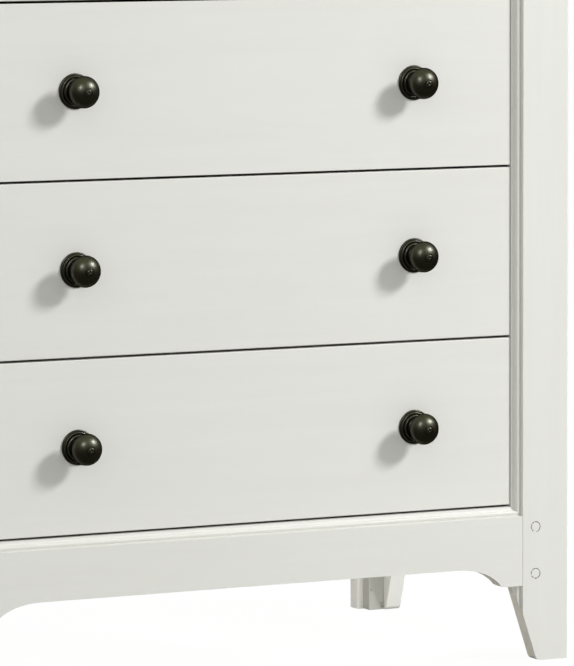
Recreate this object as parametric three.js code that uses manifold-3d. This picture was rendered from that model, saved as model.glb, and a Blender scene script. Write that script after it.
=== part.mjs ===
// A tall white-painted chest of five full-width drawers on tapered legs.
//
// Millimetres, +X to the viewer's right, +Y to the back, +Z up. The origin is on the floor, under the
// middle of the whole object. The legs run up the chest as corner posts, each an L of two boards, and
// the rails, side panels and back are fixed between them. Each drawer slides out towards -Y.

import * as THREE from 'three';
import { mergeVertices } from 'three/addons/utils/BufferGeometryUtils.js';
import Module from 'manifold-3d';

const wasm = await Module();
wasm.setup();

// ---- driving dimensions ----

const ROWS = 5;
const WIDTH = 750;            // across the outer faces of the posts
const DEPTH = 430;            // from the front faces of the posts to the back of the chest
const PITCH = 182;            // from one drawer's gap to the next
const LOWEST_GAP = 168;       // height of the middle of the gap under the lowest drawer
const DRAWER_GAP = 2.6;       // between two drawer fronts
const RAIL_GAP = 2.3;         // between the lowest drawer front and the bottom rail
const SIDE_GAP = 0.5;         // between a drawer front and the post's moulding

const BOARD = 18;             // thickness of the post and rail boards
const POST_FACE = 55;         // flat face of a post
const BACK_FACE = 44;         // width of a back post's board across the back
const MOULDING = 10;          // width of the stepped moulding, and how far back it goes
const FOOT = 38;              // width of a leg at the floor
const ARRIS = 2;              // rounding of a post's outer corner
const FOOT_ROUND = 5;         // rounding of a foot's inner corner
const BACK_ROUND = 4;         // rounding of the back board's inner edge
const JOINT = 0.3;            // hairline between boards that meet
const PAST = 1;               // how far a cutting shape reaches past the board it cuts

const RAIL_TOP = LOWEST_GAP + DRAWER_GAP / 2 - RAIL_GAP;
const RAIL_MIDDLE = 103.5;    // underside of a bottom rail between its brackets
const RAIL_END = 82;          // underside of a bottom rail's brackets
const RAIL_JOINT = 0.5;       // hairline between a rail's end and a post
const BRACKET_FLAT = 25;      // flat part of a bracket, next to the post
const BRACKET_CURVE = 55;     // length of the bracket's curve, which steepens towards the flat
const BRACKET_ROUND = 2.5;     // rounding of the corner between the two

const TOP_RAIL_FACE = 30.7;   // flat face of the top front rail
const TOP_THICKNESS = 20;
const TOP_OVERHANG = 12;      // past the posts at the front and the sides
const TOP_ROUND = 5;          // rounding of the top board's edges

const PANEL = 8;              // side panels
const DUST_PANEL = 6;         // board that closes the bottom
const DUST_PANEL_Z = 112;
const BACK_PANEL = 6;
const BACK_RAIL = 12;         // thickness of the back rails
const BACK_RAIL_HEIGHT = 60;

const FRONT_BOARD = 20;       // thickness of a drawer front
const DRAWER_WALL = 12;       // thickness of the drawer sides and back
const DRAWER_HALF = 304;      // half of the drawer box's outer width
const DRAWER_SIDE_LOW = 18;   // lower edge of the drawer sides, above the gap line
const DRAWER_SIDE_HIGH = 158;
const DRAWER_BACK_Y = 398;    // rear face of the drawer box, behind the posts' front
const BOTTOM_LOW = 28;        // underside of the drawer bottom, above the gap line
const BOTTOM = 6;             // thickness of the drawer bottom
const GROOVE = 6;             // depth of the groove that holds the drawer bottom

const RUNNER = 16;            // thickness of a runner
const RUNNER_INNER = 290;     // its inner edge, from the middle of the chest
const RUNNER_PLAY = 0.5;      // under the drawer sides
const GUIDE = [305, 317];     // the raised guide beside the drawer, from the middle of the chest
const GUIDE_HEIGHT = 12;

const KNOB_X = 194;           // from the middle of the chest
const KNOB_ROSE = 18.3;       // radius of the knob's round back plate
const KNOB_BALL = 16.5;       // radius of the ball across the axis
const KNOB_BALL_DEPTH = 11;   // and half of its size along the axis
const KNOB_NIPPLE = 5.6;
const KNOB_NIPPLE_LENGTH = 2.5;
const KNOB_LENGTH = 36;
const KNOB_SEAT = 0.3;        // between the back plate and the drawer front
const KNOB_SIDES = 22;

// ---- worked out from them ----

const HALF = WIDTH / 2;
const POST = POST_FACE + MOULDING;
const KNOB_REACH = KNOB_LENGTH - MOULDING;        // of the knobs past the posts' front faces
const FRONT = (KNOB_REACH - DEPTH) / 2;           // the plane of the posts' front faces
const BACK = FRONT + DEPTH;
const DRAWERS_TOP = LOWEST_GAP + ROWS * PITCH + DRAWER_GAP / 2;
const UNDER_TOP = DRAWERS_TOP + MOULDING + TOP_RAIL_FACE;
const OPENING_HALF = HALF - POST;
const TAPER = (POST - FOOT) / RAIL_END;           // of a leg's inner edge, per millimetre of height

// ---- materials ----

const paint = new THREE.MeshStandardMaterial({ color: 0xe6e5df, roughness: 0.45, metalness: 0 });
const timber = new THREE.MeshStandardMaterial({ color: 0xcdb48c, roughness: 0.7, metalness: 0 });
const ply = new THREE.MeshStandardMaterial({ color: 0xbfa57c, roughness: 0.75, metalness: 0 });
const bronze = new THREE.MeshStandardMaterial({ color: 0x2b2a22, roughness: 0.3, metalness: 0.85 });

// ---- solids ----

// A box from its lowest to its highest corner.
function block([x0, y0, z0], [x1, y1, z1]) {
  const geometry = new THREE.BoxGeometry(x1 - x0, y1 - y0, z1 - z0);
  return geometry.translate((x0 + x1) / 2, (y0 + y1) / 2, (z0 + z1) / 2);
}

function shapeOf(outline) {
  return new THREE.Shape(outline.map(([a, b]) => new THREE.Vector2(a, b)));
}

function extrude(outline, depth) {
  const shape = outline instanceof THREE.Shape ? outline : shapeOf(outline);
  return new THREE.ExtrudeGeometry(shape, { depth, bevelEnabled: false, curveSegments: 8 });
}

// An outline in X and Y, from height z0 to z1.
function upright(outline, z0, z1) {
  return extrude(outline, z1 - z0).translate(0, 0, z0);
}

// An outline in X and Z, from y0 to y1.
function frontToBack(outline, y0, y1) {
  const turn = new THREE.Matrix4().makeBasis(
    new THREE.Vector3(1, 0, 0), new THREE.Vector3(0, 0, 1), new THREE.Vector3(0, -1, 0));
  return extrude(outline, y1 - y0).applyMatrix4(turn).translate(0, y1, 0);
}

// An outline in Y and Z, from x0 to x1.
function sideToSide(outline, x0, x1) {
  const turn = new THREE.Matrix4().makeBasis(
    new THREE.Vector3(0, 1, 0), new THREE.Vector3(0, 0, 1), new THREE.Vector3(1, 0, 0));
  return extrude(outline, x1 - x0).applyMatrix4(turn).translate(x0, 0, 0);
}

function toManifold(geometry) {
  const bare = geometry.clone();
  bare.deleteAttribute('normal');
  bare.deleteAttribute('uv');
  const merged = mergeVertices(bare);
  return new wasm.Manifold(new wasm.Mesh({
    numProp: 3,
    vertProperties: new Float32Array(merged.attributes.position.array),
    triVerts: new Uint32Array(merged.index.array),
  }));
}

function cut(geometry, ...tools) {
  const left = tools.reduce((body, tool) => body.subtract(toManifold(tool)), toManifold(geometry));
  const mesh = left.getMesh();
  const result = new THREE.BufferGeometry();
  result.setAttribute('position', new THREE.BufferAttribute(mesh.vertProperties, 3));
  result.setIndex(new THREE.BufferAttribute(mesh.triVerts, 1));
  result.computeVertexNormals();
  return result;
}

function piece(name, geometry, material) {
  const mesh = new THREE.Mesh(geometry, material);
  mesh.name = name;
  return mesh;
}

// ---- the stepped moulding ----

// The moulding's section, as [inwards from the face's edge, back from the face]: a quirk, a bead, a
// cove and a narrow lip that stands a little proud of the drawer fronts.
function mouldingCurve() {
  const bead = new THREE.QuadraticBezierCurve(
    new THREE.Vector2(1, 4.6), new THREE.Vector2(3.4, 2.3), new THREE.Vector2(5.4, 4.1));
  const coveEnd = 8.4;
  const lip = 8.2;
  const cove = new THREE.EllipseCurve(coveEnd, 5, coveEnd - 5.5, lip - 5, Math.PI, Math.PI / 2, true);
  const points = [...bead.getPoints(4), ...cove.getPoints(5)];
  return [[0, 0], ...points.map((p) => [p.x, p.y]), [MOULDING - 0.3, lip], [MOULDING, lip + 0.3]];
}

// ---- posts ----

// The plan of a corner post whose outer corner is at the origin and whose boards run along +X and
// +Y. The board along +Y carries the moulding. The one along +X carries it on the front posts, and
// has a rounded inner edge on the back posts.
function postOutline(isFront) {
  const round = new THREE.EllipseCurve(
    BACK_FACE - BACK_ROUND, BOARD - BACK_ROUND, BACK_ROUND, BACK_ROUND, 0, Math.PI / 2, false);
  const across = isFront
    ? [...mouldingCurve().map(([s, d]) => [POST_FACE + s, d]), [POST, BOARD]]
    : [[BACK_FACE, 0], ...round.getPoints(5).map((p) => [p.x, p.y])];
  const along = [[BOARD, POST], ...mouldingCurve().map(([s, d]) => [d, POST_FACE + s]).reverse()];
  const corner = new THREE.EllipseCurve(ARRIS, ARRIS, ARRIS, ARRIS, Math.PI, 1.5 * Math.PI, false);
  return [...corner.getPoints(4).map((p) => [p.x, p.y]), ...across, [BOARD, BOARD], ...along];
}

// The waste beside a leg's slanting inner edge, as an outline of [across, height].
function taperWaste() {
  const waste = new THREE.Shape();
  waste.moveTo(POST + MOULDING, -MOULDING);
  waste.lineTo(FOOT - FOOT_ROUND, -MOULDING);
  waste.lineTo(FOOT - FOOT_ROUND, 0);
  waste.quadraticCurveTo(FOOT, 0, FOOT + TAPER * FOOT_ROUND, FOOT_ROUND);
  waste.lineTo(POST, RAIL_END);
  waste.lineTo(POST + MOULDING, RAIL_END);
  return waste;
}

// The part of the moulding that gives way to a rail, mitred at the end where the moulding goes on.
function railSeat(railFrom, railTo, mitre) {
  const past = POST + MOULDING / 2;
  const slope = mitre * (past - POST_FACE);
  return mitre > 0
    ? [[POST_FACE, railFrom], [past, railFrom], [past, railTo + slope], [POST_FACE, railTo]]
    : [[POST_FACE, railTo], [past, railTo], [past, railFrom + slope], [POST_FACE, railFrom]];
}

// sideX is -1 or 1 for left or right, sideY -1 or 1 for front or back.
function post(name, sideX, sideY) {
  const isFront = sideY < 0;
  const x = (across) => sideX * (HALF - across);
  const y = (along) => (isFront ? FRONT + along : BACK - along);
  const body = upright(postOutline(isFront).map(([a, b]) => [x(a), y(b)]), 0, UNDER_TOP);
  const boardFrom = Math.min(x(-PAST), x(BOARD + PAST));
  const boardTo = Math.max(x(-PAST), x(BOARD + PAST));
  const sideways = (outline) => sideToSide(outline.map(([b, z]) => [y(b), z]), boardFrom, boardTo);
  const waste = taperWaste().getPoints(4).map((p) => [p.x, p.y]);
  const tools = [
    sideways(waste),
    sideways(railSeat(RAIL_END - JOINT, RAIL_TOP - MOULDING, 1)),
  ];
  if (isFront) {
    const forwards = (outline) => frontToBack(
      outline.map(([a, z]) => [x(a), z]), FRONT - PAST, FRONT + BOARD);
    tools.push(
      forwards(waste),
      forwards(railSeat(RAIL_END - JOINT, RAIL_TOP - MOULDING, 1)),
      forwards(railSeat(DRAWERS_TOP + MOULDING, UNDER_TOP + PAST, -1)),
    );
  }
  return piece(name, cut(body, ...tools), paint);
}

// ---- rails ----

// A bottom rail, centred on X with its face at y = 0, with a bracket at each end and the moulding
// along its top, mitred at both ends to meet the posts' moulding.
function bracketRail(span) {
  const end = span / 2 - RAIL_JOINT;
  const outline = new THREE.Shape();
  outline.moveTo(end, RAIL_END);
  outline.lineTo(end, RAIL_TOP - MOULDING);
  outline.lineTo(end - MOULDING, RAIL_TOP);
  outline.lineTo(MOULDING - end, RAIL_TOP);
  outline.lineTo(-end, RAIL_TOP - MOULDING);
  outline.lineTo(-end, RAIL_END);
  const flat = span / 2 - BRACKET_FLAT;
  const arch = flat - BRACKET_CURVE;
  const steep = flat - 0.16 * BRACKET_CURVE;
  const gentle = flat - 0.46 * BRACKET_CURVE;
  const halfway = (RAIL_END + RAIL_MIDDLE) / 2;
  const start = BRACKET_ROUND * 0.7;
  outline.lineTo(-flat - BRACKET_ROUND, RAIL_END);
  outline.quadraticCurveTo(-flat, RAIL_END, start - flat, RAIL_END + start);
  outline.bezierCurveTo(-steep, halfway, -gentle, RAIL_MIDDLE, -arch, RAIL_MIDDLE);
  outline.lineTo(arch, RAIL_MIDDLE);
  outline.bezierCurveTo(gentle, RAIL_MIDDLE, steep, halfway, flat - start, RAIL_END + start);
  outline.quadraticCurveTo(flat, RAIL_END, flat + BRACKET_ROUND, RAIL_END);
  const waste = [
    ...mouldingCurve().map(([s, d]) => [d, RAIL_TOP - MOULDING + s]),
    [MOULDING, RAIL_TOP + PAST], [-PAST, RAIL_TOP + PAST], [-PAST, RAIL_TOP - MOULDING]];
  return cut(frontToBack(outline, 0, BOARD), sideToSide(waste, -span / 2, span / 2));
}

// The top front rail, with the moulding along its lower edge.
function topRail() {
  const end = HALF - POST_FACE - RAIL_JOINT;
  const outline = [
    [-end, UNDER_TOP], [-end, DRAWERS_TOP + MOULDING], [MOULDING - end, DRAWERS_TOP],
    [end - MOULDING, DRAWERS_TOP], [end, DRAWERS_TOP + MOULDING], [end, UNDER_TOP]];
  const waste = [
    ...mouldingCurve().map(([s, d]) => [FRONT + d, DRAWERS_TOP + MOULDING - s]),
    [FRONT + MOULDING, DRAWERS_TOP - PAST], [FRONT - PAST, DRAWERS_TOP - PAST],
    [FRONT - PAST, DRAWERS_TOP + MOULDING]];
  const body = frontToBack(outline, FRONT, FRONT + BOARD);
  return piece('top_front_rail', cut(body, sideToSide(waste, -HALF, HALF)), paint);
}

function sideApron(name, side) {
  const mesh = piece(name, bracketRail(DEPTH - 2 * POST_FACE), paint);
  mesh.rotation.z = side * Math.PI / 2;
  mesh.position.set(side * HALF, (FRONT + BACK) / 2, 0);
  return mesh;
}

function bottomRail() {
  const mesh = piece('bottom_front_rail', bracketRail(WIDTH - 2 * POST_FACE), paint);
  mesh.position.y = FRONT;
  return mesh;
}

// ---- the rest of the carcass ----

// The top board, with rounded front and side edges and a square back edge flush with the chest.
function topBoard() {
  const half = HALF + TOP_OVERHANG - TOP_ROUND;
  const front = FRONT - TOP_OVERHANG + TOP_ROUND;
  const plan = shapeOf([[-half, front], [half, front], [half, BACK], [-half, BACK]]);
  const board = new THREE.ExtrudeGeometry(plan, {
    depth: TOP_THICKNESS - 2 * TOP_ROUND,
    bevelThickness: TOP_ROUND, bevelSize: TOP_ROUND, bevelSegments: 4,
  }).translate(0, 0, UNDER_TOP + TOP_ROUND);
  const behind = block(
    [-WIDTH, BACK, UNDER_TOP - PAST], [WIDTH, BACK + BOARD, UNDER_TOP + TOP_THICKNESS + PAST]);
  return piece('top_board', cut(board, behind), paint);
}

function sidePanel(name, side) {
  const inner = side * (HALF - BOARD);
  const outer = inner + side * PANEL;
  return piece(name, block(
    [Math.min(inner, outer), FRONT + POST, RAIL_TOP + JOINT],
    [Math.max(inner, outer), BACK - POST, UNDER_TOP]), paint);
}

function backRail(name, low, high) {
  const half = HALF - BACK_FACE;
  return piece(name, block([-half, BACK - BACK_RAIL, low], [half, BACK, high]), timber);
}

function backPanel() {
  const half = HALF - BACK_FACE;
  return piece('back_panel', block(
    [-half, BACK - BACK_RAIL - BACK_PANEL, RAIL_MIDDLE], [half, BACK - BACK_RAIL, UNDER_TOP]), ply);
}

function dustPanel() {
  const half = HALF - BOARD - JOINT;
  return piece('dust_panel', block(
    [-half, FRONT + BOARD, DUST_PANEL_Z], [half, BACK - BOARD, DUST_PANEL_Z + DUST_PANEL]), ply);
}

// A runner carries one side of a drawer. Its front end is the stop for the closed drawer front, and
// its raised guide keeps the drawer straight. z is measured from the drawer's lower gap line.
function runner(name, side) {
  const top = DRAWER_SIDE_LOW - RUNNER_PLAY;
  const outline = [
    [RUNNER_INNER, top - RUNNER], [HALF - BOARD - JOINT, top - RUNNER], [HALF - BOARD - JOINT, top],
    [GUIDE[1], top], [GUIDE[1], top + GUIDE_HEIGHT], [GUIDE[0], top + GUIDE_HEIGHT], [GUIDE[0], top],
    [RUNNER_INNER, top]].map(([x, z]) => [side * x, z]);
  return piece(name, frontToBack(
    outline, FRONT + MOULDING + FRONT_BOARD + JOINT, BACK - BOARD - JOINT), timber);
}

// ---- drawers ----

// The drawer bottom sits in a groove round the front and the sides, and passes under the back.
function drawerFront(name) {
  const half = OPENING_HALF - SIDE_GAP;
  const y = FRONT + MOULDING;
  const board = block([-half, y, DRAWER_GAP / 2], [half, y + FRONT_BOARD, PITCH - DRAWER_GAP / 2]);
  const reach = DRAWER_HALF - DRAWER_WALL + GROOVE;
  const groove = block(
    [-reach, y + FRONT_BOARD - GROOVE, BOTTOM_LOW - JOINT],
    [reach, y + FRONT_BOARD + PAST, BOTTOM_LOW + BOTTOM + JOINT]);
  return piece(name, cut(board, groove), paint);
}

function drawerSide(name, side) {
  const inner = DRAWER_HALF - DRAWER_WALL;
  const y0 = FRONT + MOULDING + FRONT_BOARD;
  const y1 = FRONT + DRAWER_BACK_Y;
  const span = (a, b) => [Math.min(side * a, side * b), Math.max(side * a, side * b)];
  const [x0, x1] = span(inner, DRAWER_HALF);
  const [g0, g1] = span(inner - PAST, inner + GROOVE);
  const board = block([x0, y0, DRAWER_SIDE_LOW], [x1, y1, DRAWER_SIDE_HIGH]);
  const groove = block(
    [g0, y0 - PAST, BOTTOM_LOW - JOINT], [g1, y1 + PAST, BOTTOM_LOW + BOTTOM + JOINT]);
  return piece(name, cut(board, groove), timber);
}

function drawerBack(name) {
  const half = DRAWER_HALF - DRAWER_WALL;
  const y1 = FRONT + DRAWER_BACK_Y;
  return piece(name, block(
    [-half, y1 - DRAWER_WALL, BOTTOM_LOW + BOTTOM + JOINT], [half, y1, DRAWER_SIDE_HIGH]), timber);
}

function drawerBottom(name) {
  const half = DRAWER_HALF - DRAWER_WALL + GROOVE - JOINT;
  const y0 = FRONT + MOULDING + FRONT_BOARD - GROOVE + JOINT;
  return piece(name, block(
    [-half, y0, BOTTOM_LOW], [half, FRONT + DRAWER_BACK_Y, BOTTOM_LOW + BOTTOM]), ply);
}

// A ball on a short neck and a stepped round back plate, with a small nipple on its end. The axis
// points out of the drawer front.
function knob(name, side) {
  const ballCentre = KNOB_LENGTH - KNOB_NIPPLE_LENGTH - KNOB_BALL_DEPTH;
  const ball = new THREE.EllipseCurve(
    0, ballCentre, KNOB_BALL, KNOB_BALL_DEPTH, -0.36 * Math.PI, 0.39 * Math.PI, false);
  const plate = [[0, KNOB_SEAT], [KNOB_ROSE, KNOB_SEAT], [KNOB_ROSE, 2], [14, 2.6], [12.5, 4.4], [6.2, 5.6]];
  const nipple = [[KNOB_NIPPLE, KNOB_LENGTH - 1.2], [KNOB_NIPPLE - 2, KNOB_LENGTH], [0, KNOB_LENGTH]];
  const profile = [...plate, ...ball.getPoints(8).map((p) => [p.x, p.y]), ...nipple];
  const turned = new THREE.LatheGeometry(profile.map(([r, h]) => new THREE.Vector2(r, h)), KNOB_SIDES);
  const mesh = piece(name, turned, bronze);
  mesh.rotation.x = Math.PI;
  mesh.position.set(side * KNOB_X, FRONT + MOULDING, PITCH / 2);
  return mesh;
}

// ---- assembly ----

const SIDES = { left: -1, right: 1 };
const group = new THREE.Group();

group.add(topBoard(), topRail(), bottomRail(), backPanel(), dustPanel());
group.add(backRail('back_bottom_rail', RAIL_MIDDLE, RAIL_MIDDLE + BACK_RAIL_HEIGHT));
group.add(backRail('back_top_rail', UNDER_TOP - BACK_RAIL_HEIGHT, UNDER_TOP));
for (const [word, side] of Object.entries(SIDES)) {
  group.add(post(`front_${word}_post`, side, -1), post(`back_${word}_post`, side, 1));
  group.add(sidePanel(`${word}_side_panel`, side), sideApron(`${word}_side_apron`, side));
}

for (let row = 1; row <= ROWS; row += 1) {
  const drawer = new THREE.Group();
  drawer.position.z = LOWEST_GAP + (ROWS - row) * PITCH;
  const name = `drawer_${row}`;
  drawer.add(drawerFront(`${name}_front`), drawerBack(`${name}_back`), drawerBottom(`${name}_bottom`));
  for (const [word, side] of Object.entries(SIDES)) {
    drawer.add(drawerSide(`${name}_${word}_side`, side), knob(`${name}_${word}_knob`, side));
    drawer.add(runner(`runner_${row}_${word}`, side));
  }
  group.add(drawer);
}

export default group;
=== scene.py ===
"""A tall white-painted chest of five drawers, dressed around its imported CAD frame.

Metres, in the row frame: +X to the right, +Y to the back, +Z up. The carcass and the drawers are CAD
nodes with finer materials and softened edges. The knobs are turned again at full detail, and the
small fittings that hold a real chest together are made here.
"""

import math

import bmesh
import bpy
from mathutils import Matrix, Vector


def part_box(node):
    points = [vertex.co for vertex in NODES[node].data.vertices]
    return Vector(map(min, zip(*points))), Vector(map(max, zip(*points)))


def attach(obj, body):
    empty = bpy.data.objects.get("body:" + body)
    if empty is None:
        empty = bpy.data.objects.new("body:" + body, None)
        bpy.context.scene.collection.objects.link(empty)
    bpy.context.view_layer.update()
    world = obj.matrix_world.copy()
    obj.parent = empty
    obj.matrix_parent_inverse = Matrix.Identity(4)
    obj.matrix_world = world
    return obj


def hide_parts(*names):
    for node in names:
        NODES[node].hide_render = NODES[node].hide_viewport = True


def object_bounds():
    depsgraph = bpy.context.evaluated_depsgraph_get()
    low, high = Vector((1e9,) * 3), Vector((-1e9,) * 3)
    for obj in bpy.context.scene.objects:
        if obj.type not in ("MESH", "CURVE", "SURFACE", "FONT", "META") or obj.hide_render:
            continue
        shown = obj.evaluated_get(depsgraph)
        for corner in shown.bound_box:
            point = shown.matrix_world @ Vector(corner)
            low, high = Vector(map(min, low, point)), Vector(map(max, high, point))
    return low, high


MM = 0.001
ROWS = 5
SIDES = {"left": -1, "right": 1}

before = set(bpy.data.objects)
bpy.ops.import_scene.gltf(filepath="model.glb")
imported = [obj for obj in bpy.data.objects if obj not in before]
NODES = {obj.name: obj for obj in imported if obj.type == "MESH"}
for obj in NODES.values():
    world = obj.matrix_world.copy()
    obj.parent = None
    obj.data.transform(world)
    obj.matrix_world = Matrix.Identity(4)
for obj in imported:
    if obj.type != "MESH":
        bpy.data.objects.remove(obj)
CAD_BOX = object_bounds()


# ---- camera ----

CAMERA_AT = (-2.176, -4.717, 0.850)
CAMERA_YAW = 26.139     # degrees to the right of straight at the chest's front
CAMERA_PITCH = -5.489
CAMERA_ROLL = -0.21
CAMERA_LENS = 304.8     # millimetres, as is the sensor's width
CAMERA_SENSOR = 36.0


def add_camera():
    data = bpy.data.cameras.new("camera")
    data.sensor_fit = "HORIZONTAL"
    data.sensor_width = CAMERA_SENSOR
    data.lens = CAMERA_LENS
    camera = bpy.data.objects.new("camera", data)
    bpy.context.scene.collection.objects.link(camera)
    yaw = Matrix.Rotation(math.radians(-CAMERA_YAW), 4, "Z")
    pitch = Matrix.Rotation(math.radians(90 + CAMERA_PITCH), 4, "X")
    roll = Matrix.Rotation(math.radians(CAMERA_ROLL), 4, "Z")
    camera.matrix_world = Matrix.Translation(CAMERA_AT) @ yaw @ pitch @ roll
    bpy.context.scene.camera = camera


add_camera()


# ---- node helpers ----

def new_material(name):
    material = bpy.data.materials.new(name)
    material.use_nodes = True
    return material, material.node_tree.nodes, material.node_tree.links


def add_node(nodes, kind, **properties):
    node = nodes.new(kind)
    for key, value in properties.items():
        setattr(node, key, value)
    return node


def noise(nodes, links, scale, detail=2.0, roughness=0.5, distortion=0.0):
    """Noise in object coordinates, scaled by a different amount along each axis."""
    coords = add_node(nodes, "ShaderNodeTexCoord")
    mapping = add_node(nodes, "ShaderNodeMapping")
    mapping.inputs["Scale"].default_value = scale
    links.new(coords.outputs["Object"], mapping.inputs["Vector"])
    node = add_node(nodes, "ShaderNodeTexNoise")
    node.inputs["Scale"].default_value = 1.0
    node.inputs["Detail"].default_value = detail
    node.inputs["Roughness"].default_value = roughness
    node.inputs["Distortion"].default_value = distortion
    links.new(mapping.outputs["Vector"], node.inputs["Vector"])
    return node.outputs["Fac"]


def ramp(nodes, links, factor, stops):
    node = add_node(nodes, "ShaderNodeValToRGB")
    elements = node.color_ramp.elements
    while len(elements) < len(stops):
        elements.new(0.5)
    for element, (position, colour) in zip(elements, stops):
        element.position = position
        element.color = (*colour, 1.0)
    links.new(factor, node.inputs["Fac"])
    return node.outputs["Color"]


def span(nodes, links, factor, low, high):
    """The factor from 0 to 1, carried to the range from low to high."""
    node = add_node(nodes, "ShaderNodeMapRange")
    node.inputs["To Min"].default_value = low
    node.inputs["To Max"].default_value = high
    links.new(factor, node.inputs["Value"])
    return node.outputs["Result"]


def bump(nodes, links, height, strength, distance, normal=None):
    node = add_node(nodes, "ShaderNodeBump")
    node.inputs["Strength"].default_value = strength
    node.inputs["Distance"].default_value = distance
    links.new(height, node.inputs["Height"])
    if normal is not None:
        links.new(normal, node.inputs["Normal"])
    return node.outputs["Normal"]


def multiplied(nodes, links, base, tint, share):
    """The base colour, multiplied by a share of the tint."""
    mix = add_node(nodes, "ShaderNodeMix", data_type="RGBA", blend_type="MULTIPLY")
    mix.inputs["Factor"].default_value = share
    links.new(base, mix.inputs["A"])
    links.new(tint, mix.inputs["B"])
    return mix.outputs["Result"]


def along(axis, lengthwise, across):
    """A scale that stretches a pattern along one axis of the board."""
    return tuple(lengthwise if letter == axis else across for letter in "XYZ")


def even(scale):
    """The same scale along all three axes."""
    return (scale, scale, scale)


# ---- materials ----

WHITE = (1.0, 1.0, 1.0)
PAINT = (0.812, 0.812, 0.778)
PAINT_SHADE = (0.788, 0.787, 0.750)
GREY_PAINT = (0.52, 0.52, 0.48)
GREY_SHADE = (0.44, 0.44, 0.40)
WOOD_LIGHT = (0.68, 0.525, 0.345)
WOOD_DARK = (0.50, 0.345, 0.205)
WOOD_FIBRE = (0.80, 0.76, 0.70)
WOOD_RINGS = 22.0         # changes between light and dark over the noise's whole range
PLY_TONES = [
    (0.30, (0.56, 0.425, 0.275)), (0.48, (0.65, 0.51, 0.345)), (0.56, (0.59, 0.45, 0.295)),
    (0.72, (0.68, 0.54, 0.375))]
PLY_PORE = (0.66, 0.60, 0.52)
BRONZE_DARK = (0.068, 0.068, 0.057)
BRONZE_LIGHT = (0.079, 0.078, 0.065)
BRONZE_GRAZING = (0.12, 0.12, 0.08, 1)
ZINC_DARK = (0.36, 0.34, 0.28)
ZINC_LIGHT = (0.55, 0.53, 0.47)
# painted shade: the dark of an open hairline gap, put on a ring that has no real gap
PAINTED_GAP_SHADE = (0.08, 0.076, 0.06)
GRAIN_DEPTH = 0.12 * MM
PORE_DEPTH = 0.1 * MM
PEEL_DEPTH = 0.05 * MM
SPECK_DEPTH = 0.03 * MM


def paint(axis, name="painted_wood", colour=PAINT, shade=PAINT_SHADE):
    """Satin paint sprayed on wood whose grain runs along axis, and shows through very faintly."""
    material, nodes, links = new_material(f"{name}_{axis.lower()}")
    shader = nodes["Principled BSDF"]
    grain = noise(nodes, links, along(axis, 5, 130), detail=5.0, roughness=0.6, distortion=0.4)
    streak = noise(nodes, links, along(axis, 3, 45), detail=6.0, roughness=0.7, distortion=0.3)
    cloud = noise(nodes, links, even(6), detail=3.0)
    peel = noise(nodes, links, even(700))
    links.new(ramp(nodes, links, streak, [(0.3, shade), (0.7, colour)]), shader.inputs["Base Color"])
    links.new(span(nodes, links, cloud, 0.42, 0.54), shader.inputs["Roughness"])
    smooth = bump(nodes, links, peel, 0.25, PEEL_DEPTH)
    links.new(bump(nodes, links, grain, 0.35, GRAIN_DEPTH, smooth), shader.inputs["Normal"])
    return material


def timber(axis):
    """Sanded softwood with its growth rings and fibres along axis."""
    material, nodes, links = new_material(f"bare_wood_{axis.lower()}")
    shader = nodes["Principled BSDF"]
    wander = noise(nodes, links, along(axis, 1.1, 9), distortion=0.6)
    rings = add_node(nodes, "ShaderNodeMath", operation="MULTIPLY")
    rings.inputs[1].default_value = WOOD_RINGS
    links.new(wander, rings.inputs[0])
    wave = add_node(nodes, "ShaderNodeMath", operation="PINGPONG")
    wave.inputs[1].default_value = 1.0
    links.new(rings.outputs[0], wave.inputs[0])
    fibre = noise(nodes, links, along(axis, 18, 900), detail=4.0, roughness=0.65)
    figure = ramp(nodes, links, wave.outputs[0], [
        (0.0, WOOD_LIGHT), (0.62, WOOD_LIGHT), (0.92, WOOD_DARK), (1.0, WOOD_DARK)])
    fine = ramp(nodes, links, fibre, [(0.30, WOOD_FIBRE), (0.65, WHITE)])
    links.new(multiplied(nodes, links, figure, fine, 0.75), shader.inputs["Base Color"])
    links.new(span(nodes, links, fibre, 0.52, 0.72), shader.inputs["Roughness"])
    links.new(bump(nodes, links, fibre, 0.4, GRAIN_DEPTH), shader.inputs["Normal"])
    return material


def plywood():
    """Thin plywood: a broad rotary-cut figure with short dark pores, both along X."""
    material, nodes, links = new_material("plywood")
    shader = nodes["Principled BSDF"]
    figure = noise(nodes, links, along("X", 2.2, 11), detail=3.0, roughness=0.55, distortion=1.4)
    pores = noise(nodes, links, along("X", 60, 1100), detail=3.0, roughness=0.6)
    base = ramp(nodes, links, figure, PLY_TONES)
    fine = ramp(nodes, links, pores, [(0.28, PLY_PORE), (0.42, WHITE)])
    links.new(multiplied(nodes, links, base, fine, 0.8), shader.inputs["Base Color"])
    links.new(span(nodes, links, figure, 0.55, 0.7), shader.inputs["Roughness"])
    links.new(bump(nodes, links, pores, 0.3, PORE_DEPTH), shader.inputs["Normal"])
    return material


def bronze():
    """Dark oil-rubbed bronze, a little lighter in patches, that stays dark at grazing angles."""
    material, nodes, links = new_material("dark_bronze")
    shader = nodes["Principled BSDF"]
    shader.inputs["Metallic"].default_value = 1.0
    shader.inputs["Specular Tint"].default_value = BRONZE_GRAZING
    cloud = noise(nodes, links, even(90), detail=4.0, roughness=0.6)
    speck = noise(nodes, links, even(700))
    colour = ramp(nodes, links, cloud, [(0.35, BRONZE_DARK), (0.75, BRONZE_LIGHT)])
    links.new(colour, shader.inputs["Base Color"])
    links.new(span(nodes, links, cloud, 0.30, 0.38), shader.inputs["Roughness"])
    links.new(bump(nodes, links, speck, 0.15, SPECK_DEPTH), shader.inputs["Normal"])
    return material


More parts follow.
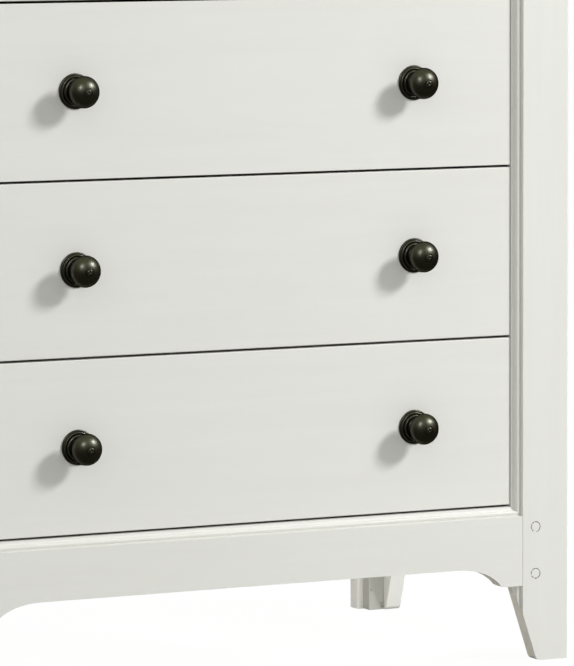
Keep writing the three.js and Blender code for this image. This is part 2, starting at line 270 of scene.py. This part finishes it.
def steel():
    """Zinc-plated screws and nails."""
    material, nodes, links = new_material("zinc_steel")
    shader = nodes["Principled BSDF"]
    shader.inputs["Metallic"].default_value = 1.0
    cloud = noise(nodes, links, even(600), detail=3.0)
    colour = ramp(nodes, links, cloud, [(0.3, ZINC_DARK), (0.7, ZINC_LIGHT)])
    links.new(colour, shader.inputs["Base Color"])
    links.new(span(nodes, links, cloud, 0.3, 0.45), shader.inputs["Roughness"])
    return material


def painted_ring_shade():
    """The hairline round a painted plug, drawn as a ring standing just proud of the face: dark with painted
    shade in places, where the gap would be open, and filled with paint in others.
    """
    material, nodes, links = new_material("plug_ring_painted_shade")
    shader = nodes["Principled BSDF"]
    shade_mask = noise(nodes, links, even(400), detail=0.0)
    colour = ramp(nodes, links, shade_mask, [(0.40, PAINT), (0.48, PAINTED_GAP_SHADE)])
    links.new(colour, shader.inputs["Base Color"])
    shader.inputs["Roughness"].default_value = 0.7
    return material


PAINTS = {axis: paint(axis) for axis in "XYZ"}
BLOCK_PAINT = paint("Z", "grey_block", GREY_PAINT, GREY_SHADE)
WOODS = {axis: timber(axis) for axis in "XYZ"}
PLY = plywood()
BRONZE = bronze()
STEEL = steel()
# a ring with painted shade, standing in for the shaded hairline round each plug
RING_SHADE_PAINT = painted_ring_shade()


# ---- CAD nodes: materials and softened edges ----

SHARP_ANGLE = 32.0        # degrees; a sharper edge is shaded as an edge
FLAT_ANGLE = 0.5          # degrees; faces this close to one plane are joined
WELD_DISTANCE = 0.004 * MM
EASED = 0.8 * MM          # width of a softened edge
FRONT_EASED = 1.0 * MM
BOTTOM_EASED = 0.4 * MM
AS_BUILT = 0              # for nodes with mouldings or curves, which a bevel would spoil


def weld_group():
    """Joins the split corners of an imported mesh, and shades it smooth up to a limiting angle."""
    group = bpy.data.node_groups.new("weld", "GeometryNodeTree")
    group.interface.new_socket("Geometry", in_out="INPUT", socket_type="NodeSocketGeometry")
    group.interface.new_socket("Geometry", in_out="OUTPUT", socket_type="NodeSocketGeometry")
    start = group.nodes.new("NodeGroupInput")
    drop = group.nodes.new("GeometryNodeRemoveAttribute")
    drop.inputs["Name"].default_value = "custom_normal"
    merge = group.nodes.new("GeometryNodeMergeByDistance")
    merge.inputs["Distance"].default_value = WELD_DISTANCE
    bend = group.nodes.new("GeometryNodeInputMeshEdgeAngle")
    gentle = group.nodes.new("FunctionNodeCompare")
    gentle.operation = "LESS_THAN"
    gentle.inputs[1].default_value = math.radians(SHARP_ANGLE)
    edges = group.nodes.new("GeometryNodeSetShadeSmooth")
    edges.domain = "EDGE"
    faces = group.nodes.new("GeometryNodeSetShadeSmooth")
    faces.inputs["Shade Smooth"].default_value = True
    end = group.nodes.new("NodeGroupOutput")
    chain = [start, drop, merge, edges, faces, end]
    for before, after in zip(chain, chain[1:]):
        group.links.new(before.outputs[0], after.inputs[0])
    group.links.new(bend.outputs["Unsigned Angle"], gentle.inputs[0])
    group.links.new(gentle.outputs[0], edges.inputs["Shade Smooth"])
    return group


WELD = weld_group()


def soften(node, width):
    weld = node.modifiers.new("weld", "NODES")
    weld.node_group = WELD
    planar = node.modifiers.new("planar", "DECIMATE")
    planar.decimate_type = "DISSOLVE"
    planar.angle_limit = math.radians(FLAT_ANGLE)
    if width:
        bevel = node.modifiers.new("bevel", "BEVEL")
        bevel.width = width
        bevel.segments = 3
        bevel.limit_method = "ANGLE"
        bevel.angle_limit = math.radians(SHARP_ANGLE)
        bevel.harden_normals = False
    normals = node.modifiers.new("normals", "WEIGHTED_NORMAL")
    normals.keep_sharp = True
    normals.weight = 80


def dress(name, material, width=EASED):
    node = NODES[name]
    node.data.materials.clear()
    node.data.materials.append(material)
    soften(node, width)


def dress_carcass():
    for name in ("top_board", "top_front_rail", "bottom_front_rail"):
        dress(name, PAINTS["X"], AS_BUILT)
    for word in SIDES:
        dress(f"front_{word}_post", PAINTS["Z"], AS_BUILT)
        dress(f"back_{word}_post", PAINTS["Z"], AS_BUILT)
        dress(f"{word}_side_panel", PAINTS["Z"])
        dress(f"{word}_side_apron", PAINTS["Y"], AS_BUILT)
    dress("back_panel", PLY)
    dress("dust_panel", PLY)
    dress("back_bottom_rail", WOODS["X"])
    dress("back_top_rail", WOODS["X"])
    for row in range(1, ROWS + 1):
        for word in SIDES:
            dress(f"runner_{row}_{word}", WOODS["Y"])


def dress_drawer(row):
    name = f"drawer_{row}"
    dress(f"{name}_front", PAINTS["X"], FRONT_EASED)
    dress(f"{name}_back", WOODS["X"])
    dress(f"{name}_bottom", PLY, BOTTOM_EASED)
    for word in SIDES:
        dress(f"{name}_{word}_side", WOODS["Y"])


dress_carcass()
for drawer_row in range(1, ROWS + 1):
    dress_drawer(drawer_row)


# ---- turned pieces ----

def rider(name, mesh, material, body):
    """Turns a bmesh into a piece that rides on a body."""
    bmesh.ops.recalc_face_normals(mesh, faces=mesh.faces)
    for face in mesh.faces:
        face.smooth = True
    data = bpy.data.meshes.new(name)
    mesh.to_mesh(data)
    mesh.free()
    data.set_sharp_from_angle(angle=math.radians(SHARP_ANGLE))
    data.materials.append(material)
    piece = bpy.data.objects.new(name, data)
    bpy.context.scene.collection.objects.link(piece)
    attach(piece, body)
    return piece


def arc(centre, radius, start, stop, steps):
    """Points on an arc or an ellipse's arc, in degrees from the radial direction."""
    wide, deep = radius if isinstance(radius, tuple) else (radius, radius)
    angles = [math.radians(start + (stop - start) * i / steps) for i in range(steps + 1)]
    return [(centre[0] + wide * math.cos(a), centre[1] + deep * math.sin(a)) for a in angles]


def turned(name, profile, place, facing, material, body, sides=64):
    """A turned piece. The profile is [(radius, height)] in millimetres, and starts and ends on the axis
    unless it closes on itself, as a ring's does."""
    mesh = bmesh.new()
    rings = []
    for radius, height in profile:
        if radius == 0:
            rings.append([mesh.verts.new((0, 0, height * MM))])
            continue
        ring = []
        for i in range(sides):
            angle = 2 * math.pi * i / sides
            ring.append(mesh.verts.new((
                radius * MM * math.cos(angle), radius * MM * math.sin(angle), height * MM)))
        rings.append(ring)
    for low, high in zip(rings, rings[1:]):
        for i in range(sides):
            j = (i + 1) % sides
            corners = [low[i % len(low)], low[j % len(low)], high[j % len(high)], high[i % len(high)]]
            mesh.faces.new(list(dict.fromkeys(corners)))
    turn = Vector(facing).to_track_quat("Z", "Y").to_matrix().to_4x4()
    mesh.transform(Matrix.Translation(place) @ turn)
    return rider(name, mesh, material, body)


OUTWARDS = (0, -1, 0)     # the way that the drawer fronts face
ROSE = 18.3               # radius of the back plate, in millimetres, as are the knob's other sizes
ROSE_TOP = 3.9
RIM = 1.2                 # radius of the plate's rounded edge
BALL = 16.5               # radius of the ball across its axis
BALL_FRONT = 11.0         # its half depth towards the tip, and towards the neck
BALL_REAR = 7.0
BALL_CENTRE = 22.5
NECK_LOW = 3.8            # just inside the plate, so that no gap shows between the two
NIPPLE = 2.0              # radius of the nipple's rounded edge


def rose_profile():
    """A round back plate: a rounded rim, a step, a bead and a second, higher ring."""
    rim = arc((ROSE - RIM, 0.9), (RIM, 1.0), 0, 90, 6)
    bead = arc((15.1, 2.3), 1.3, 0, 180, 9)
    ring = arc((12.0, 3.4), (1.7, 1.8), 0, 165, 10)
    steps = [*rim, (16.6, 1.9), *bead, (13.7, 2.5), *ring, (9.9, ROSE_TOP)]
    return [(0, 0), (ROSE, 0), *steps, (0, ROSE_TOP)]


def knob_profile():
    """The neck, the ball and the nipple on its end."""
    foot = arc((8.4, 4.8), 1.0, -90, 90, 6)
    neck = [(7.9, 6.4), (7.1, 8.0), (6.7, 10.0), (6.8, 12.0), (7.3, 14.0), (8.1, 15.6)]
    rear = arc((0, BALL_CENTRE), (BALL, BALL_REAR), -59, 0, 14)
    front = arc((0, BALL_CENTRE), (BALL, BALL_FRONT), 4, 73, 18)
    groove = [(4.6, 32.6), (4.0, 32.7)]
    button = arc((1.7, 34.0), NIPPLE, -35, 90, 12)
    dimple = [(1.2, 35.9), (0.6, 35.7), (0, 35.65)]
    stem = [(0, NECK_LOW), (7.0, NECK_LOW), *foot, *neck]
    return [*stem, *rear, *front, *groove, *button, *dimple]


def add_knobs(row):
    """A back plate and a ball for each of a drawer's knobs, in place of the CAD's simpler knob."""
    body = f"drawer_{row}"
    front_low, front_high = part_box(f"{body}_front")
    middle = (front_low.z + front_high.z) / 2
    for word in SIDES:
        node = f"{body}_{word}_knob"
        low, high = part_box(node)
        place = ((low.x + high.x) / 2, front_low.y, middle)
        for part, profile in (("rose", rose_profile()), ("ball", knob_profile())):
            piece = turned(f"{body}_{word}_{part}", profile, place, OUTWARDS, BRONZE, body)
            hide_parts(node)


for drawer_row in range(1, ROWS + 1):
    add_knobs(drawer_row)


# ---- boards and small fittings ----

BLOCK_EASED = 1.0 * MM
HEAD_SIDES = 14
# the rings of a nail or screw head, as shares of its radius and its height
HEAD_DOME = ((1.0, -0.2), (1.0, 0.35), (0.85, 0.75), (0.5, 0.97))


def board(name, low, high, material):
    """A sawn block with eased edges, fixed to the carcass."""
    mesh = bmesh.new()
    bmesh.ops.create_cube(mesh, size=1.0)
    middle = (Vector(low) + Vector(high)) / 2
    size = Vector(high) - Vector(low)
    for vertex in mesh.verts:
        vertex.co = Vector([c * s for c, s in zip(vertex.co, size)]) + middle
    bmesh.ops.bevel(
        mesh, geom=list(mesh.edges), offset=BLOCK_EASED, segments=3, affect="EDGES", profile=0.5)
    return rider(name, mesh, material, "carcass")


def heads(name, spots, facing, size, body):
    """A set of small domed nail or screw heads on one flat face, as one piece. The size is the radius
    and the height of a head, in millimetres."""
    radius, height = (measure * MM for measure in size)
    mesh = bmesh.new()
    turn = Vector(facing).to_track_quat("Z", "Y").to_matrix().to_4x4()
    for spot in spots:
        place = Matrix.Translation(spot) @ turn
        rings = []
        for share, lift in HEAD_DOME:
            ring = []
            for i in range(HEAD_SIDES):
                angle = 2 * math.pi * i / HEAD_SIDES
                across = radius * share * math.cos(angle)
                up = radius * share * math.sin(angle)
                ring.append(mesh.verts.new(place @ Vector((across, up, height * lift))))
            rings.append(ring)
        for lower, upper in zip(rings, rings[1:]):
            for i in range(HEAD_SIDES):
                j = (i + 1) % HEAD_SIDES
                mesh.faces.new((lower[i], lower[j], upper[j], upper[i]))
        mesh.faces.new(rings[-1])
        mesh.faces.new(rings[0][::-1])
    return rider(name, mesh, STEEL, body)


PLUG_X = 335.4            # of the plugs in the front posts, in millimetres
PLUG_HEIGHTS = {"low": 94.5, "high": 144.9}
PLUG_RADIUS = 4.9
PLUG_DEPTH = 1.0
PLUG_CROWN = 0.18         # how far the middle of a plug stands proud
PLUG_RING = 0.9           # width of the hairline round a plug
PLUG_RING_DEPTH = 0.5
PLUG_RING_PROUD = 0.03
PLUG_SIDES = 40


def add_plugs():
    """Wooden plugs over the screws that hold the bottom rail, painted over on the front posts."""
    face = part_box("front_right_post")[0].y
    crown = [(PLUG_RADIUS, 0.02), (4.5, 0.10), (3.0, 0.16), (0, PLUG_CROWN)]
    disc = [(0, -PLUG_DEPTH), (PLUG_RADIUS, -PLUG_DEPTH), *crown]
    outer = PLUG_RADIUS + PLUG_RING
    ring = [
        (PLUG_RADIUS, -PLUG_RING_DEPTH), (outer, -PLUG_RING_DEPTH), (outer, PLUG_RING_PROUD),
        (PLUG_RADIUS, PLUG_RING_PROUD), (PLUG_RADIUS, -PLUG_RING_DEPTH)]
    for word, side in SIDES.items():
        for level, z in PLUG_HEIGHTS.items():
            place = (side * PLUG_X * MM, face, z * MM)
            name = f"plug_{word}_{level}"
            # the ring carries painted shade where the hairline would be open
            for piece, profile, material in ((name, disc, PAINTS["X"]), (f"{name}_ring", ring, RING_SHADE_PAINT)):
                turned(piece, profile, place, OUTWARDS, material, "carcass", PLUG_SIDES)


BLOCK_DEEP = 16 * MM      # corner blocks in the back legs
BLOCK_WIDE = 19.5 * MM
BLOCK_FOOT = 0.4 * MM     # their clearance over the floor
BLOCK_NAILS = ((16.5, 23.5), (16.0, 70.0), (3.8, 8.0), (2.6, 4.2))    # from the wall, and up
BLOCK_NAIL = (1.1, 0.5)   # radius and height of a head, as for the others below
CLEAT = 15 * MM
CLEAT_END = 2 * MM        # gap between a cleat's end and a corner block
RAIL_UNDERSIDE = 0.1035   # of the bottom front rail, between its brackets


def add_blocks_and_cleats():
    """The blocks glued into the back legs, and the cleats under the dust panel and the top board."""
    panel_low, panel_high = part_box("dust_panel")
    front, back = panel_low.y, panel_high.y
    under_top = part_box("top_board")[0].z
    inner = abs(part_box("left_side_panel")[1].x)
    for word, side in SIDES.items():
        wall = side * inner
        near, far = sorted((wall, wall - side * BLOCK_WIDE))
        name = f"corner_block_{word}"
        board(name, (near, back - BLOCK_DEEP, BLOCK_FOOT), (far, back, panel_low.z), BLOCK_PAINT)
        spots = [(wall - side * x * MM, back - BLOCK_DEEP, z * MM) for x, z in BLOCK_NAILS]
        heads(f"{name}_nails", spots, OUTWARDS, BLOCK_NAIL, "carcass")
        near, far = sorted((wall, wall - side * CLEAT))
        board(f"dust_cleat_{word}", (near, front + CLEAT, panel_low.z - CLEAT),
              (far, back - BLOCK_DEEP - CLEAT_END, panel_low.z), WOODS["Y"])
        board(f"top_cleat_{word}", (near, front + CLEAT, under_top - CLEAT),
              (far, back - CLEAT, under_top), WOODS["Y"])
    board("dust_cleat_front", (-inner, front, RAIL_UNDERSIDE), (inner, front + CLEAT, panel_low.z),
          WOODS["X"])


GUIDE_HEIGHT = 12         # of a runner's guide over its ledge, in millimetres, as below
RUNNER_SCREW_X = 335
RUNNER_SCREW_Y = (-120, 20, 160)
RUNNER_SCREW = (3.4, 0.9)
PANEL_NAIL_X = (300, 318)
PANEL_NAIL_DROP = 8       # below a runner's ledge
PANEL_NAIL = (2.2, 0.8)
RAIL_SCREW_INSET = (16, 15)    # from a back rail's end, and from its long edges
RAIL_SCREW = (3.6, 0.9)


def add_carcass_fixings():
    """Nails through the back panel, screws down through the runners and screws in the back rails."""
    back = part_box("back_panel")[1].y
    nails = []
    for row in range(1, ROWS + 1):
        for word, side in SIDES.items():
            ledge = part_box(f"runner_{row}_{word}")[1].z - GUIDE_HEIGHT * MM
            nails += [(side * x * MM, back, ledge - PANEL_NAIL_DROP * MM) for x in PANEL_NAIL_X]
            screws = [(side * RUNNER_SCREW_X * MM, y * MM, ledge) for y in RUNNER_SCREW_Y]
            heads(f"runner_{row}_{word}_screws", screws, (0, 0, 1), RUNNER_SCREW, "carcass")
    heads("back_panel_nails", nails, (0, 1, 0), PANEL_NAIL, "carcass")
    rail_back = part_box("back_top_rail")[1].y
    end, edge = (inset * MM for inset in RAIL_SCREW_INSET)
    for word in ("top", "bottom"):
        low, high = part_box(f"back_{word}_rail")
        columns = (low.x + end, 0, high.x - end)
        rows = (low.z + edge, high.z - edge)
        spots = [(x, rail_back, z) for x in columns for z in rows]
        heads(f"back_{word}_rail_screws", spots, (0, 1, 0), RAIL_SCREW, "carcass")


KNOB_SCREW = [
    (0, -0.5), (6.5, -0.5), (6.5, 0.8), (6.2, 1.0), (4.4, 1.0), (4.3, 1.6), (3.7, 2.5), (2.4, 3.1),
    (0, 3.3)]             # a washer and a round head, in millimetres, as below
KNOB_SCREW_SIDES = 32
SIDE_NAIL = (1.6, 0.5)
BACK_JOINT = (-6, (32, 70, 108))     # nails in a drawer's side: from its end, and up from its edge
FRONT_JOINT = (8, (28, 70, 112))     # the same, from the back face of the drawer front
BOTTOM_NAIL = (2.0, 0.6)
BOTTOM_NAIL_X = (-240, -80, 80, 240)
BOTTOM_NAIL_IN = 6        # from the bottom's back edge


def add_drawer_fixings(row):
    """The knobs' screws behind the drawer front, and the nails that hold the drawer's back and bottom."""
    name = f"drawer_{row}"
    front_low, front_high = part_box(f"{name}_front")
    middle = (front_low.z + front_high.z) / 2
    for word, side in SIDES.items():
        knob_low, knob_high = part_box(f"{name}_{word}_knob")
        place = ((knob_low.x + knob_high.x) / 2, front_high.y, middle)
        turned(f"{name}_{word}_screw", KNOB_SCREW, place, (0, 1, 0), STEEL, name, sides=KNOB_SCREW_SIDES)
        side_low, side_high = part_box(f"{name}_{word}_side")
        outer = side_low.x if side < 0 else side_high.x
        spots = [(outer, end + along_y * MM, side_low.z + z * MM)
                 for end, (along_y, heights) in ((side_high.y, BACK_JOINT), (front_high.y, FRONT_JOINT))
                 for z in heights]
        heads(f"{name}_{word}_side_nails", spots, (side, 0, 0), SIDE_NAIL, name)
    low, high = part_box(f"{name}_bottom")
    spots = [(x * MM, high.y - BOTTOM_NAIL_IN * MM, low.z) for x in BOTTOM_NAIL_X]
    heads(f"{name}_bottom_nails", spots, (0, 0, -1), BOTTOM_NAIL, name)


add_plugs()
add_blocks_and_cleats()
add_carcass_fixings()
for drawer_row in range(1, ROWS + 1):
    add_drawer_fixings(drawer_row)


# ---- floor, lights and background ----

FLOOR_SIZE = 40.0
FLOOR_COLOUR = (0.36, 0.36, 0.35, 1)
FLOOR_ROUGHNESS = 0.9
FLOOR_GLOW = 1.04         # what the camera sees of the floor, which hides all but a trace of shadow
FLOOR_GLOW_SHARE = 0.93
FLOOR_BOUNCE = 0.08       # what the floor adds for the object
KEY_TOWARDS = (0.650, -0.594, 0.474)    # from the middle of the chest; distances in metres, powers in watts
KEY_DISTANCE = 5.2
KEY_SIZE = (1.04, 1.04)
KEY_POWER = 190.0
GLINT_TOWARDS = (-0.32, -0.92, 0.44)    # a softbox that only polished parts mirror
GLINT_DISTANCE = 4.0
GLINT_SIZE = (0.30, 0.60)
GLINT_POWER = 35.0
BACK_TOWARDS = (0.12, 0.92, 0.38)
BACK_DISTANCE = 4.5
BACK_SIZE = (1.2, 1.2)
BACK_POWER = 95.0
FRONT_CARD_POWER = 0.22
FRONT_CARD_AT = (0.4, -0.648, 0.06)
FRONT_CARD_FACING = (0, 0.87, 0.5)
FRONT_CARD_SIZE = (1.2, 0.35)
UNDER_CARD_POWER = 0.40   # of each of the two
UNDER_CARD_X = 0.19       # well inside the side aprons, which a card at them would burn out
UNDER_CARD_AT = (-0.128, 0.085)         # Y and Z
UNDER_CARD_FACING = (0, 1, -0.12)
UNDER_CARD_SIZE = (0.20, 0.03)
SIDE_CARD_POWER = 0.09    # towards the right back leg
SIDE_CARD_AT = (0.02, 0.12, 0.055)
SIDE_CARD_FACING = (1, 0.45, 0)
SIDE_CARD_SIZE = (0.2, 0.04)
CARD_COLOUR = (0.92, 0.97, 1.0)
SKY_HORIZON = 0.70        # light from the dome
SKY_ZENITH = 0.40
SKY_LEFT = 1.4            # its strength on the left, which falls to as much under 1 on the right
SKY_COLOUR = (1.0, 1.0, 0.98)
MIRRORED_FLOOR = 0.09     # what polished surfaces see below, at and above the horizon
MIRRORED_HORIZON = 0.14
MIRRORED_ZENITH = 0.78
MIRRORED_COLOUR = (1.0, 0.99, 0.60)


def add_floor():
    """A plain white floor that keeps only a trace of shadow for the camera."""
    mesh = bmesh.new()
    bmesh.ops.create_grid(mesh, x_segments=1, y_segments=1, size=FLOOR_SIZE / 2)
    data = bpy.data.meshes.new("floor")
    mesh.to_mesh(data)
    mesh.free()
    floor = bpy.data.objects.new("floor", data)
    bpy.context.scene.collection.objects.link(floor)
    floor.visible_glossy = False
    material, nodes, links = new_material("floor")
    shader = nodes["Principled BSDF"]
    shader.inputs["Base Color"].default_value = FLOOR_COLOUR
    shader.inputs["Roughness"].default_value = FLOOR_ROUGHNESS
    shader.inputs["Emission Color"].default_value = (*WHITE, 1)
    shader.inputs["Emission Strength"].default_value = FLOOR_BOUNCE
    glow = add_node(nodes, "ShaderNodeEmission")
    glow.inputs["Strength"].default_value = FLOOR_GLOW
    path = add_node(nodes, "ShaderNodeLightPath")
    share = add_node(nodes, "ShaderNodeMath", operation="MULTIPLY")
    share.inputs[1].default_value = FLOOR_GLOW_SHARE
    mix = add_node(nodes, "ShaderNodeMixShader")
    links.new(path.outputs["Is Camera Ray"], share.inputs[0])
    links.new(share.outputs[0], mix.inputs["Fac"])
    links.new(shader.outputs[0], mix.inputs[1])
    links.new(glow.outputs[0], mix.inputs[2])
    links.new(mix.outputs[0], nodes["Material Output"].inputs["Surface"])
    data.materials.append(material)


def add_panel(name, place, facing, size, power, shape="RECTANGLE"):
    """An area light that shines along facing."""
    data = bpy.data.lights.new(name, "AREA")
    data.shape = shape
    data.size, data.size_y = size
    data.energy = power
    light = bpy.data.objects.new(name, data)
    bpy.context.scene.collection.objects.link(light)
    turn = (-Vector(facing)).to_track_quat("Z", "Y").to_matrix().to_4x4()
    light.matrix_world = Matrix.Translation(place) @ turn
    light.visible_camera = False
    return light


def add_softbox(name, towards, distance, size, power):
    """A round or oval light, aimed at the middle of the chest from a direction."""
    low, high = CAD_BOX
    middle = (Vector(low) + Vector(high)) / 2
    direction = Vector(towards).normalized()
    return add_panel(name, middle + direction * distance, -direction, size, power, "ELLIPSE")


def add_low_cards():
    """Dim cards that polished parts don't mirror: one in front, and three under the chest."""
    cards = [("front_card", FRONT_CARD_AT, FRONT_CARD_FACING, FRONT_CARD_SIZE, FRONT_CARD_POWER)]
    for word, side in SIDES.items():
        place = (side * UNDER_CARD_X, *UNDER_CARD_AT)
        cards.append((f"under_card_{word}", place, UNDER_CARD_FACING, UNDER_CARD_SIZE, UNDER_CARD_POWER))
    cards.append(("side_card", SIDE_CARD_AT, SIDE_CARD_FACING, SIDE_CARD_SIZE, SIDE_CARD_POWER))
    for card in cards:
        light = add_panel(*card)
        light.visible_glossy = False
        light.data.color = CARD_COLOUR


def dome(nodes, links, height, levels, colour):
    """A background whose brightness follows the height, given as [(height from 0 to 1, level)]."""
    stops = [(at, tuple(level * c for c in colour)) for at, level in levels]
    background = add_node(nodes, "ShaderNodeBackground")
    links.new(ramp(nodes, links, height, stops), background.inputs["Color"])
    return background


def add_background():
    """White behind the chest for the camera, a soft dome for the paint and a graded one for metal."""
    world = bpy.data.worlds.new("studio")
    bpy.context.scene.world = world
    world.use_nodes = True
    nodes, links = world.node_tree.nodes, world.node_tree.links
    nodes.clear()
    coords = add_node(nodes, "ShaderNodeTexCoord")
    split = add_node(nodes, "ShaderNodeSeparateXYZ")
    links.new(coords.outputs["Generated"], split.inputs[0])
    height = add_node(nodes, "ShaderNodeMapRange")
    height.inputs["From Min"].default_value = -1.0
    links.new(split.outputs["Z"], height.inputs["Value"])
    soft = dome(nodes, links, height.outputs[0], [(0.5, SKY_HORIZON), (1.0, SKY_ZENITH)], SKY_COLOUR)
    across = add_node(nodes, "ShaderNodeMapRange")
    across.inputs["From Min"].default_value = -1.0
    across.inputs["To Min"].default_value = SKY_LEFT
    across.inputs["To Max"].default_value = 2.0 - SKY_LEFT
    links.new(split.outputs["X"], across.inputs["Value"])
    links.new(across.outputs["Result"], soft.inputs["Strength"])
    mirrored = dome(nodes, links, height.outputs[0], [
        (0.40, MIRRORED_FLOOR), (0.5, MIRRORED_HORIZON), (1.0, MIRRORED_ZENITH)], MIRRORED_COLOUR)
    white = add_node(nodes, "ShaderNodeBackground")
    white.inputs["Color"].default_value = (*WHITE, 1)
    path = add_node(nodes, "ShaderNodeLightPath")
    for_metal = add_node(nodes, "ShaderNodeMixShader")
    links.new(path.outputs["Is Glossy Ray"], for_metal.inputs["Fac"])
    links.new(soft.outputs[0], for_metal.inputs[1])
    links.new(mirrored.outputs[0], for_metal.inputs[2])
    for_camera = add_node(nodes, "ShaderNodeMixShader")
    links.new(path.outputs["Is Camera Ray"], for_camera.inputs["Fac"])
    links.new(for_metal.outputs[0], for_camera.inputs[1])
    links.new(white.outputs[0], for_camera.inputs[2])
    out = add_node(nodes, "ShaderNodeOutputWorld")
    links.new(for_camera.outputs[0], out.inputs["Surface"])


add_floor()
add_softbox("key", KEY_TOWARDS, KEY_DISTANCE, KEY_SIZE, KEY_POWER)
glint = add_softbox("glint", GLINT_TOWARDS, GLINT_DISTANCE, GLINT_SIZE, GLINT_POWER)
glint.visible_diffuse = False
add_softbox("back", BACK_TOWARDS, BACK_DISTANCE, BACK_SIZE, BACK_POWER)
add_low_cards()
add_background()
bpy.context.scene.view_settings.view_transform = "Standard"
